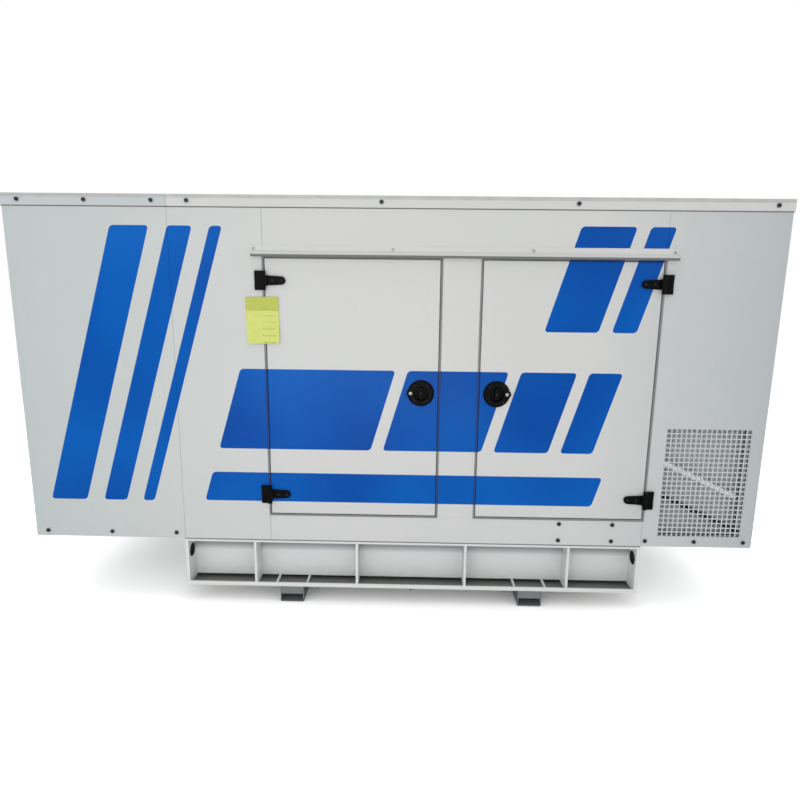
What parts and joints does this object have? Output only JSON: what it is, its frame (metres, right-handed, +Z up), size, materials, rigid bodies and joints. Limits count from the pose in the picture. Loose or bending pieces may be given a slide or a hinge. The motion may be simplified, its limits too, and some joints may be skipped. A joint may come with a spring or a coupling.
{
  "type": "enclosed diesel generator set",
  "caption": "Long sound-proofed steel canopy with side doors and an intake grille, overhanging a ribbed skid base with a fuel tank, on cross channels.",
  "frame": {"origin": "on the ground, under the centre of the canopy", "axes": "+X along the set from the radiator end to the control end, +Z up; the side with the doors that open faces -Y"},
  "size_m": [3.006, 1.144, 1.676],
  "materials": {
    "canopy_paint": "gloss powder coat, light grey, with blue livery shapes",
    "base_paint": "satin powder coat, light grey",
    "perforated_sheet": "satin powder coat on perforated sheet",
    "galvanised": "galvanised sheet",
    "acoustic_foam": "open-cell foam",
    "black_nylon": "moulded, satin black",
    "radiator_paint": "satin black",
    "engine_paint": "grey engine enamel on castings",
    "alternator_paint": "dark blue-grey enamel",
    "cabinet_paint": "fine-textured powder coat",
    "battery_case": "moulded polypropylene",
    "rubber": "moulded hose with a cloth mark",
    "exhaust_steel": "aluminised steel, heat-tinted"
  },
  "bodies": {
    "enclosure": {"cooling_roof": "canopy_paint", "main_roof": "canopy_paint", "roof_lining": "acoustic_foam", "wall_linings": "acoustic_foam", "cooling_panels": "canopy_paint", "fixed_panels": "canopy_paint", "header_panels": "canopy_paint", "sill_panels": "canopy_paint", "centre_posts": "canopy_paint", "intake_panels": "canopy_paint", "front_grille": "perforated_sheet", "rear_grille": "perforated_sheet", "drip_rails": "canopy_paint", "left_end_wall": "canopy_paint", "discharge_louvre": "perforated_sheet", "right_end_wall": "canopy_paint", "floor_pans": "galvanised", "intake_baffles": "galvanised", "rear_doors": "canopy_paint", "rear_hinges": "black_nylon", "rear_latches": "black_nylon", "hinge_leaves": "black_nylon", "door_stops": "galvanised", "deck": "base_paint", "fuel_tank": "base_paint", "bottom_rails": "base_paint", "side_ribs": "base_paint", "tie_plates": "base_paint", "left_end_plate": "base_paint", "right_end_plate": "base_paint", "feet": "base_paint", "skid_beams": "base_paint", "radiator": "radiator_paint", "coolant_hose": "rubber", "fan_shroud": "radiator_paint", "fan": "radiator_paint", "engine": "engine_paint", "air_filter": "radiator_paint", "alternator": "alternator_paint", "control_cabinet": "cabinet_paint", "cabinet_legs": "base_paint", "battery": "battery_case", "silencer": "exhaust_steel"},
    "left_leaf": {"left_door": "canopy_paint", "left_door_lining": "acoustic_foam", "left_hinge_straps": "black_nylon", "left_latch": "black_nylon"},
    "right_leaf": {"right_door": "canopy_paint", "right_door_lining": "acoustic_foam", "right_hinge_straps": "black_nylon", "right_latch": "black_nylon"},
    "left_wing": {"left_handle": "black_nylon"},
    "right_wing": {"right_handle": "black_nylon"}
  },
  "joints": [
    {"name": "left_door_hinge", "type": "hinge", "parent": "enclosure", "child": "left_leaf", "pos_m": [-0.499, -0.563, 0.9235], "axis": [0, 0, -1], "range_deg": [0, 135]},
    {"name": "right_door_hinge", "type": "hinge", "parent": "enclosure", "child": "right_leaf", "pos_m": [1.041, -0.563, 0.9235], "axis": [0, 0, 1], "range_deg": [0, 135]},
    {"name": "left_handle_turn", "type": "hinge", "parent": "left_leaf", "child": "left_wing", "pos_m": [0.117, -0.55, 0.922], "axis": [0, -1, 0], "range_deg": [0, 90]},
    {"name": "right_handle_turn", "type": "hinge", "parent": "right_leaf", "child": "right_wing", "pos_m": [0.419, -0.55, 0.922], "axis": [0, 1, 0], "range_deg": [0, 90]}
  ]
}
